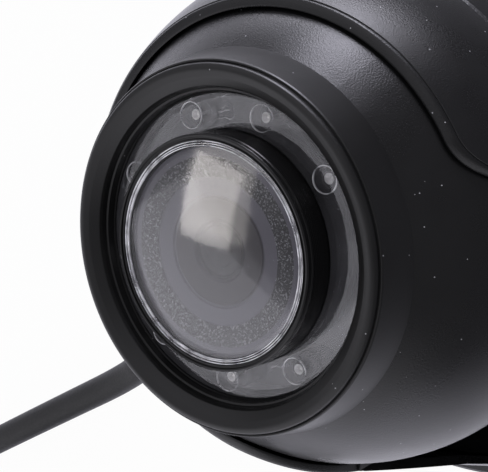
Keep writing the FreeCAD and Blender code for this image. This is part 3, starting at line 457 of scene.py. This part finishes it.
tail_start = coil_point(coil_turns)
tail_heading = (coil_point(coil_turns + 1e-4) - coil_point(coil_turns - 1e-4)).normalized()
tail_end = tail_start + tail_heading * TAIL


def make_cable():
    points = [Vector(spot) for spot in ROUTE]
    swell = 1.0 / math.cos(math.pi / COIL_POINTS)
    steps = int(round(coil_turns * COIL_POINTS))
    for step in range(1, steps):
        points.append(coil_point(coil_turns * step / steps, swell))
    points += [tail_start, tail_start.lerp(tail_end, 0.5), tail_end]
    curve = bpy.data.curves.new("cable_line", "CURVE")
    curve.dimensions = "3D"
    curve.bevel_depth = CABLE_RADIUS * MM
    curve.bevel_resolution = 8
    curve.resolution_u = 10
    curve.use_fill_caps = True
    spline = curve.splines.new("NURBS")
    spline.points.add(len(points) - 1)
    for knot, spot in zip(spline.points, points):
        knot.co = (*(spot * MM), 1.0)
    spline.order_u = 3
    spline.use_endpoint_u = True
    cable = bpy.data.objects.new("cable_run", curve)
    bpy.context.scene.collection.objects.link(cable)
    return finish_piece(cable, "base", FINISHES["cable_jacket"], ("cable", "cable_coil"))


cable_piece = make_cable()

# Plug: body with grip ribs, and its ribbed coupling ring
plug_axis = tail_heading.to_track_quat("Z", "X").to_matrix().to_4x4()
plug_place = Matrix.Translation(tail_end * MM) @ plug_axis


def make_plug():
    outline = [(0.0, 0.0, 0.0), (3.4, 0.0, 0.3)]
    for rib in range(4):
        foot = 1.2 + rib * 1.9
        reach = 3.5 + rib * 0.65
        outline += [(reach, foot, 0.2), (reach + 0.5, foot + 0.5, 0.3), (reach + 0.5, foot + 1.2, 0.3),
                    (reach + 0.1, foot + 1.6, 0.2)]
    outline += [
        (6.2, 9.5, 0.6), (6.2, 26.6, 0.5), (6.9, 27.6, 0.3), (7.0, 29.9, 0.3), (5.4, 30.0, 0.1),
        (5.4, 36.6, 0.1), (6.2, 36.7, 0.1), (6.2, 37.8, 0.2), (5.4, 37.9, 0.1), (5.4, 41.0, 0.3),
        (4.4, 41.0, 0.2), (4.4, 35.5, 0.1), (0.0, 35.5, 0.0)]
    body = turned("plug_body", outline, 96, plug_place)
    finish_piece(body, "base", FINISHES["connector"], ("connector_body",))
    ribs = 18

    def grip(radius, height, angle):
        inside = 1.0 if radius > 8.2 and 31.2 < height < 42.4 else 0.0
        return -inside * 0.28 * (0.5 - 0.5 * math.cos(ribs * angle)) ** 3

    ring = turned("plug_ring", [
        (5.5, 30.2, 0.1), (8.3, 30.2, 0.5), (8.75, 31.1, 0.3), (8.75, 31.4, 0.0), (8.75, 36.6, 0.0),
        (8.75, 42.2, 0.0), (8.75, 42.5, 0.3), (8.5, 43.0, 0.3), (6.45, 43.0, 0.3), (6.45, 36.5, 0.1),
        (5.5, 36.5, 0.1)], 216, plug_place, grip)
    finish_piece(ring, "plug_ring", FINISHES["connector"], ("coupling_ring",))
    return body, ring


plug_piece, ring_piece = make_plug()


def make_boot():
    """The tapered cable boot with bending slots, along the cable's exit."""
    exit_turn = Matrix.Rotation(math.radians(CABLE_AZIMUTH), 4, "Z") @ Matrix.Rotation(math.pi / 2.0, 4, "Y")
    place = Matrix.Translation(Vector((0.0, 0.0, CABLE_HEIGHT)) * MM) @ exit_turn
    outline = [(2.86, 39.9, 0.0), (4.3, 39.9, 0.2), (4.3, 41.5, 0.1), (3.6, 41.5, 0.1), (3.6, 46.0, 0.1),
               (4.3, 46.0, 0.3)]
    start, end, count = 49.0, 63.0, 6
    for slot in range(count):
        low = start + (end - start) * slot / count
        outer = 4.3 - 0.8 * (low - 46.0) / 18.0
        outline += [(outer, low, 0.15), (outer - 0.55, low + 0.2, 0.1), (outer - 0.55, low + 0.9, 0.1),
                    (outer - 0.05, low + 1.1, 0.15)]
    outline += [(3.5, 64.0, 0.3), (2.86, 64.0, 0.0)]
    boot = turned("cable_boot_ribbed", outline, 72, place)
    return finish_piece(boot, "base", FINISHES["rubber"], ("cable_boot",))


make_boot()

# bezel and what it holds

bezel = turned("bezel", raised([
    (23.4, 23.13, 0.0),
    (22.40, 27.80, 0.12),
    (22.28, 27.98, 0.05),
    (22.10, 27.96, 0.05),
    (22.06, 27.84, 0.03),
    (21.98, 27.94, 0.05),
    (21.86, 28.50, 0.5),
    (21.20, 28.75, 0.9),
    (20.30, 28.40, 0.9),
    (19.20, 27.72, 0.4),
    (18.98, 27.30, 0.2),
    (18.90, 26.75, 0.08),
    (18.62, 26.70, 0.08),
    (18.55, 25.75, 0.1),
    (18.40, 25.60, 0.05),
    (18.40, 24.0, 0.0),
    (17.6, 24.0, 0.1),
    (17.6, 23.65, 0.0),
    (18.4, 22.95, 0.0),
    (18.4, 19.6, 0.0),
    (20.4, 19.6, 0.0),
    (20.4, 23.13, 0.0),
]), 256)
finish_piece(bezel, "head", FINISHES["bezel"], ("bezel_ring",))

clear_ring = turned("clear_ring", raised([
    (14.1, 24.0, 0.1), (18.3, 24.0, 0.1), (18.3, 25.6, 0.12), (14.1, 25.6, 0.12)]), 256)
finish_piece(clear_ring, "head", FINISHES["window"], ("clear_window",))

THREAD_TURNS = 16
THREAD_PITCH = 0.5
GROOVES = 14
GROOVE_PITCH = 0.32
barrel_outline = [(12.5, 12.0, 0.1), (14.0, 12.0, 0.2)]
for turn_index in range(THREAD_TURNS):
    foot = 12.6 + turn_index * THREAD_PITCH
    barrel_outline += [(14.0, foot, 0.0), (13.8, foot + 0.25, 0.0)]
barrel_outline.append((14.0, 20.8, 0.1))
for groove in range(GROOVES):
    foot = 24.3 + groove * GROOVE_PITCH
    barrel_outline += [(14.0, foot, 0.0), (13.96, foot + 0.08, 0.0), (14.0, foot + 0.16, 0.0)]
barrel_outline += [
    (14.0, 28.9, 0.0), (13.93, 28.98, 0.02), (13.93, 29.08, 0.02), (14.0, 29.16, 0.02),
    (14.0, 29.62, 0.12), (13.82, 29.78, 0.08), (13.62, 29.74, 0.04), (13.58, 29.52, 0.04),
    (13.40, 29.50, 0.04), (13.34, 29.70, 0.05), (13.24, 29.70, 0.04), (13.24, 27.5, 0.0), (12.5, 27.5, 0.1)]
barrel = turned("barrel", raised(barrel_outline), 256)
finish_piece(barrel, "head", FINISHES["inner_black"], ("lens_barrel",))

DOME_EDGE = 12.55
DOME_CREST = 31.5
DOME_FOOT = 29.45
DOME_BACK_EDGE = 12.5
DOME_BACK_CREST = 30.3
DOME_BACK_FOOT = 28.85


def cap(edge, foot, crest, rings=26):
    """Points of a crowned cap, from its edge to the lens axis."""
    crown = crest - foot
    curve = (edge ** 2 + crown ** 2) / (2.0 * crown)
    points = []
    for ring in range(rings + 1):
        radius = edge * (1.0 - ring / rings)
        points.append((radius, crest - curve + math.sqrt(curve ** 2 - radius ** 2), 0.0))
    return points


dome = turned("dome_glass", raised(
    list(reversed(cap(DOME_BACK_EDGE, DOME_BACK_FOOT, DOME_BACK_CREST)))
    + [(12.55, 27.5, 0.0), (13.2, 27.5, 0.05), (13.2, 29.22, 0.08), (12.98, 29.38, 0.05),
       (12.86, 29.28, 0.04), (12.72, 29.30, 0.03)]
    + cap(DOME_EDGE, DOME_FOOT, DOME_CREST)), 192)
finish_piece(dome, "head", FINISHES["lens_glass"], ("cover_glass",))

# Thin ridges round the glass's edge that carry the painted highlight lines: radius, rise of the top and half
# width
EDGE_HIGHLIGHT_RIDGES = [(13.12, 29.52, 0.05), (12.84, 29.44, 0.045), (12.60, 29.56, 0.04)]
edge_highlight_parts = []
for edge_radius, edge_rise, half in EDGE_HIGHLIGHT_RIDGES:
    edge_highlight_parts.append(turned("edge_highlight_ridge", raised([
        (edge_radius - half, edge_rise - 0.25, 0.0), (edge_radius + half, edge_rise - 0.25, 0.0),
        (edge_radius + half, edge_rise, half * 0.8), (edge_radius - half, edge_rise, half * 0.8)]), 192))

baffle = turned("baffle", raised([
    (12.4, 22.6, 0.0), (12.4, 28.7, 0.05), (11.9, 28.78, 0.05), (11.35, 28.66, 0.05),
    (8.85, 28.34, 0.03), (8.72, 28.16, 0.03), (6.85, 27.98, 0.03), (6.78, 27.72, 0.02), (6.45, 27.72, 0.02),
    (6.38, 27.94, 0.03), (3.80, 27.68, 0.05), (3.55, 27.30, 0.05), (3.4, 27.30, 0.0), (3.4, 26.2, 0.0),
    (11.4, 26.2, 0.0), (11.4, 22.6, 0.0)]), 192)
finish_piece(baffle, "head", BAFFLE_FINISH, ("lens_baffle",))

lens_eye = turned("lens_eye", raised([
    (0.0, 26.6, 0.0), (3.4, 26.6, 0.0), (3.4, 27.45, 0.05), (3.15, 27.62, 0.05), (2.95, 27.50, 0.04),
    (2.05, 27.66, 0.05), (1.85, 27.56, 0.03)] + cap(1.75, 27.58, 27.98, 8)), 96)
finish_piece(lens_eye, "head", EYE_FINISH)

# Lamps: clear domes with a flange, each with a pale cup, its lead and a die inside
LAMP_ANGLES = (-20.0, 18.0, 55.0, 98.0, 136.0, 173.0, 212.0, 249.0)
LAMP_CIRCLE = 16.3
LAMP_FOOT = BALL_HEIGHT + 19.6
LAMP_RADIUS = 1.5
LAMP_DOME_RADIUS = 1.42
LAMP_LENGTH = 5.5


def lamp_place(angle):
    turn = math.radians(angle)
    spot = Vector((LAMP_CIRCLE * math.cos(turn), LAMP_CIRCLE * math.sin(turn), LAMP_FOOT))
    return Matrix.Translation(spot * MM)


def lamp_outline():
    outline = [(0.0, 0.0, 0.0), (LAMP_RADIUS, 0.0, 0.05), (LAMP_RADIUS, 0.6, 0.05),
               (LAMP_DOME_RADIUS, 0.7, 0.03)]
    rings = 9
    for ring in range(rings + 1):
        turn = math.pi / 2.0 * ring / rings
        rise = LAMP_LENGTH - LAMP_RADIUS + LAMP_RADIUS * math.sin(turn)
        outline.append((LAMP_DOME_RADIUS * math.cos(turn), rise, 0.0))
    return outline


def joined(name, parts):
    """Several pieces as one."""
    made = bmesh.new()
    for part in parts:
        made.from_mesh(part.data)
        mesh = part.data
        bpy.data.objects.remove(part)
        bpy.data.meshes.remove(mesh)
    return piece_from(name, made)


# the ridges joined as one piece, in the pale finish of the painted highlight lines
edge_highlight_ridges = joined("glass_edge", edge_highlight_parts)
finish_piece(edge_highlight_ridges, "head", PAINTED_HIGHLIGHT_FINISH)
lamps = joined("lamps", [turned("lamp", lamp_outline(), 40, lamp_place(angle)) for angle in LAMP_ANGLES])
finish_piece(lamps, "head", FINISHES["lamp"], ("infrared_lamps",))
# Sections of a lamp's cup with its lead, its die, a pale ring painted as the highlight of its bright
# outline, and its black sleeve, above the foot
CUP = [(0.0, 4.45, 0.0), (0.25, 4.45, 0.03), (0.50, 5.10, 0.02), (0.60, 5.15, 0.02), (0.64, 5.08, 0.02),
       (0.34, 4.35, 0.03), (0.2, 4.30, 0.02), (0.2, 0.02, 0.0), (0.0, 0.02, 0.0)]
DIE = [(0.0, 4.47, 0.0), (0.14, 4.47, 0.02), (0.14, 4.75, 0.02), (0.0, 4.75, 0.0)]
LAMP_HIGHLIGHT_RING = [(1.54, 5.80, 0.0), (1.64, 5.80, 0.0), (1.64, 6.03, 0.03), (1.54, 6.03, 0.03)]
SLEEVE = [(1.52, 0.0, 0.0), (1.70, 0.0, 0.0), (1.70, 4.15, 0.0), (1.52, 4.15, 0.0)]
cups = joined("lamp_cups", [turned(name, outline, segments, lamp_place(angle)) for angle in LAMP_ANGLES
                            for name, outline, segments in (("cup", CUP, 32), ("die", DIE, 16))])
# pale rings above the lamps: a painted highlight for the bright outline of each lamp's dome
lamp_highlight_rings = joined("lamp_highlight_rings", [turned("outline", LAMP_HIGHLIGHT_RING, 48, lamp_place(angle))
                                         for angle in LAMP_ANGLES])
finish_piece(lamp_highlight_rings, "head", PAINTED_HIGHLIGHT_FINISH)
sleeves = joined("lamp_sleeves", [turned("sleeve", SLEEVE, 48, lamp_place(angle)) for angle in LAMP_ANGLES])
finish_piece(sleeves, "head", FINISHES["inner_black"])
finish_piece(cups, "head", CUP_FINISH)

# visor

VISOR_RADIUS = 34.4
SOCKET_RADIUS = 33.25
SEAM_HEIGHT = 42.0
RIM_RADIUS = 28.3
SLOT_HALF = 24.35
BLEND = 12.0
SEAM_BEVEL = 0.3
SLOPE_STEP = 1e-4
COLUMN_STEPS = 24
seam_radius = math.sqrt(VISOR_RADIUS ** 2 - (SEAM_HEIGHT - BALL_HEIGHT) ** 2)
blend_centre = Vector((SLOT_HALF + BLEND, -math.sqrt((RIM_RADIUS + BLEND) ** 2 - (SLOT_HALF + BLEND) ** 2)))
circle_end = math.atan2(blend_centre.y, blend_centre.x)
slot_start = math.atan2(blend_centre.y, SLOT_HALF)
slot_end = -math.acos(SLOT_HALF / seam_radius)


def mouth(angle):
    """Distance of the visor's mouth from the lens axis, at an angle from the tilt axis."""
    if angle > math.pi / 2.0:
        angle = math.pi - angle
    if angle >= circle_end:
        return RIM_RADIUS
    if angle >= slot_start:
        along = blend_centre.x * math.cos(angle) + blend_centre.y * math.sin(angle)
        return along - math.sqrt(along ** 2 - (blend_centre.length_squared - BLEND ** 2))
    return SLOT_HALF / math.cos(angle)


# The rim's section: (along the ball from the mouth towards the seam, out from the socket)
RIM_SECTION = [
    (1.25, 1.15), (1.02, 1.15), (0.97, 1.10), (0.93, 1.00), (0.87, 0.98), (0.80, 1.06), (0.70, 1.09),
    (0.55, 1.06), (0.38, 0.96), (0.20, 0.82), (0.02, 0.64), (-0.14, 0.46), (-0.25, 0.32),
    (-0.30, 0.20), (-0.30, 0.10), (-0.24, 0.03), (-0.15, 0.0)]


def visor_column(angle):
    """The visor's section at one angle, as points in (distance from the axis, height)."""
    reach = mouth(angle)
    slope = (mouth(angle + SLOPE_STEP) - mouth(angle - SLOPE_STEP)) / (2.0 * SLOPE_STEP) / reach
    lean = math.sqrt(1.0 + slope ** 2)
    middle = 0.5 * (VISOR_RADIUS + SOCKET_RADIUS)
    top = math.acos(min(1.0, reach / middle))
    foot = math.asin((SEAM_HEIGHT - BALL_HEIGHT) / VISOR_RADIUS)
    room = max(0.0, (top - foot) * middle)
    share = min(lean, room / 2.2)

    def spot(turn, radius):
        return Vector((radius * math.cos(turn), BALL_HEIGHT + radius * math.sin(turn)))

    column = [Vector((seam_radius - SEAM_BEVEL, SEAM_HEIGHT))]
    bevel_turn = foot + SEAM_BEVEL * min(1.0, room) / middle
    start_turn = top - RIM_SECTION[0][0] * share / middle
    for step in range(COLUMN_STEPS):
        turn = bevel_turn + (start_turn - bevel_turn) * step / COLUMN_STEPS
        column.append(spot(turn, VISOR_RADIUS))
    for along, out in RIM_SECTION:
        column.append(spot(top - along * share / middle, SOCKET_RADIUS + out))
    socket_foot = math.asin((SEAM_HEIGHT - BALL_HEIGHT) / SOCKET_RADIUS)
    end_turn = top - RIM_SECTION[-1][0] * share / middle
    for step in range(1, COLUMN_STEPS + 1):
        turn = end_turn + (socket_foot - end_turn) * step / COLUMN_STEPS
        column.append(spot(turn, SOCKET_RADIUS))
    return column


def make_visor():
    made = bmesh.new()
    start = slot_end + math.radians(0.35)
    angles = []
    for low, high, count in ((start, slot_start, 22), (slot_start, circle_end, 24),
                             (circle_end, math.pi - circle_end, 200),
                             (math.pi - circle_end, math.pi - slot_start, 24),
                             (math.pi - slot_start, math.pi - start, 22)):
        angles += [low + (high - low) * index / count for index in range(count)]
    angles.append(math.pi - start)
    columns = []
    for angle in angles:
        spots = [Vector((reach * math.cos(angle), reach * math.sin(angle), height)) * MM
                 for reach, height in visor_column(angle)]
        columns.append([made.verts.new(spot) for spot in spots])
    count = len(columns[0])
    for near, far in zip(columns, columns[1:]):
        for index in range(count):
            after = (index + 1) % count
            made.faces.new((near[index], near[after], far[after], far[index]))
    made.faces.new(columns[0])
    made.faces.new(list(reversed(columns[-1])))
    return piece_from("visor_shell", made, 30.0)


finish_piece(make_visor(), "base", FINISHES["shell"], ("visor",))

# table, room and lamps

TABLE_RADIUS = 3.0
TABLE_DROP = 0.0002
GLOW_AZIMUTH = math.radians(42.0)
GLOW_DISTANCE = 0.34
GLOW_STRENGTH = 9.0
DARK_AZIMUTH = -30.0
TABLE_GLOSS = 1.25
TABLE_DARK = 0.2
CAMERA_SHARE = 0.97


def toward(azimuth, elevation):
    """The direction of an azimuth and an elevation in degrees."""
    turn, rise = math.radians(azimuth), math.radians(elevation)
    return Vector((math.cos(turn) * math.cos(rise), math.sin(turn) * math.cos(rise), math.sin(rise)))


class Studio(Finish):
    """A node tree for the room or the table, with the same shader maths."""

    def __init__(self, owner):
        owner.use_nodes = True
        self.tree = owner.node_tree
        self.tree.nodes.clear()


def make_table():
    """The table: a matt pale top that looks white to the camera and bright behind to a gloss."""
    material = bpy.data.materials.new("table_white")
    studio = Studio(material)
    tree = studio.tree
    path = tree.nodes.new("ShaderNodeLightPath")
    matt = tree.nodes.new("ShaderNodeBsdfDiffuse")
    matt.inputs["Color"].default_value = (0.86, 0.86, 0.88, 1.0)
    white = tree.nodes.new("ShaderNodeEmission")
    glow = tree.nodes.new("ShaderNodeEmission")
    glow.inputs["Color"].default_value = (0.90, 0.89, 1.0, 1.0)
    centre = (GLOW_DISTANCE * math.cos(GLOW_AZIMUTH), GLOW_DISTANCE * math.sin(GLOW_AZIMUTH), 0.0)
    behind = studio.add("ShaderNodeVectorMath", {"operation": "DISTANCE"},
                        {0: studio.place(), 1: centre}, "Value")
    ahead = studio.add("ShaderNodeVectorMath", {"operation": "DOT_PRODUCT"},
                       {0: studio.place(), 1: toward(DARK_AZIMUTH, 0.0)}, "Value")
    level = behind.ramp(0.05, 0.22, GLOW_STRENGTH, 0.0) + ahead.ramp(-0.06, 0.08, TABLE_GLOSS, TABLE_DARK)
    tree.links.new(level.socket, glow.inputs["Strength"])
    shown = Wire(studio, path.outputs["Is Camera Ray"]) * CAMERA_SHARE
    camera_mix = tree.nodes.new("ShaderNodeMixShader")
    gloss_mix = tree.nodes.new("ShaderNodeMixShader")
    out = tree.nodes.new("ShaderNodeOutputMaterial")
    tree.links.new(path.outputs["Is Glossy Ray"], gloss_mix.inputs[0])
    tree.links.new(matt.outputs[0], gloss_mix.inputs[1])
    tree.links.new(glow.outputs[0], gloss_mix.inputs[2])
    tree.links.new(shown.socket, camera_mix.inputs[0])
    tree.links.new(gloss_mix.outputs[0], camera_mix.inputs[1])
    tree.links.new(white.outputs[0], camera_mix.inputs[2])
    tree.links.new(camera_mix.outputs[0], out.inputs["Surface"])
    made = bmesh.new()
    bmesh.ops.create_circle(made, cap_ends=True, segments=96, radius=TABLE_RADIUS)
    table = piece_from("table_top", made)
    table.location.z = -TABLE_DROP
    table.data.materials.append(material)


ROOM_LEVEL = 0.23
# Bright parts of the room: azimuth, elevation, brightness and the angle over which it fades, in degrees
ROOM_LOBES = [
    (-172.0, 15.0, 0.95, 75.0),
    (64.0, 50.0, 0.50, 44.0),
    (38.0, 6.0, 0.5, 24.0),
]


def make_world():
    """A dim room with a few soft bright parts, white to the camera."""
    world = bpy.data.worlds.new("studio")
    bpy.context.scene.world = world
    studio = Studio(world)
    tree = studio.tree
    heading = studio.add("ShaderNodeTexCoord", {}, {}, "Generated")
    level = None
    for azimuth, elevation, brightness, fade in ROOM_LOBES:
        along = studio.add("ShaderNodeVectorMath", {"operation": "DOT_PRODUCT"},
                           {0: heading, 1: toward(azimuth, elevation)}, "Value")
        lobe = along.ramp(math.cos(math.radians(fade)), 1.0, 0.0, brightness)
        level = lobe if level is None else level + lobe
    level = level + ROOM_LEVEL
    path = tree.nodes.new("ShaderNodeLightPath")
    room = tree.nodes.new("ShaderNodeBackground")
    room.inputs["Color"].default_value = (0.94, 0.93, 1.0, 1.0)
    white = tree.nodes.new("ShaderNodeBackground")
    white.inputs["Color"].default_value = (1.0, 1.0, 1.0, 1.0)
    mix = tree.nodes.new("ShaderNodeMixShader")
    out = tree.nodes.new("ShaderNodeOutputWorld")
    tree.links.new(level.socket, room.inputs["Strength"])
    tree.links.new(path.outputs["Is Camera Ray"], mix.inputs[0])
    tree.links.new(room.outputs[0], mix.inputs[1])
    tree.links.new(white.outputs[0], mix.inputs[2])
    tree.links.new(mix.outputs[0], out.inputs["Surface"])


LAMP_TARGET = Vector((0.0, 0.0, 45.0)) * MM


def softbox(name, azimuth, elevation, distance, width, height, strength, colour):
    """A rectangular lamp that faces a point on the camera body; strength is its brightness."""
    data = bpy.data.lights.new(name, "AREA")
    data.shape = "RECTANGLE"
    data.size = width
    data.size_y = height
    data.energy = strength * width * height * math.pi
    data.color = colour
    away = toward(azimuth, elevation)
    lamp = bpy.data.objects.new(name, data)
    bpy.context.scene.collection.objects.link(lamp)
    lamp.location = LAMP_TARGET + away * distance
    lamp.rotation_euler = away.to_track_quat("Z", "Y").to_euler()
    return lamp


make_table()
make_world()
softbox("back_softbox", 35.0, 8.0, 0.6, 0.17, 0.26, 14.0, (0.88, 0.87, 1.0))
glass_softbox = softbox("glass_softbox", 116.0, 56.0, 0.6, 0.28, 0.24, 5.8, (1.0, 0.95, 0.92))
wide_softbox = softbox("wide_softbox", 172.0, 42.0, 0.7, 1.25, 0.62, 1.35, (0.93, 0.92, 1.0))
low_softbox = softbox("low_softbox", -112.0, 38.0, 0.7, 1.15, 0.56, 1.2, (0.93, 0.92, 1.0))
for lamp, pieces in ((glass_softbox, (dome, lamps, cups)),
                     (wide_softbox, (dome, clear_ring, edge_highlight_ridges, lamps, cups, lamp_highlight_rings)),
                     (low_softbox, (dome, edge_highlight_ridges, lamp_highlight_rings))):
    lit = bpy.data.collections.new("lit_by_" + lamp.name)
    for piece in pieces:
        lit.objects.link(piece)
    lamp.light_linking.receiver_collection = lit

bpy.context.scene.view_settings.view_transform = "Standard"
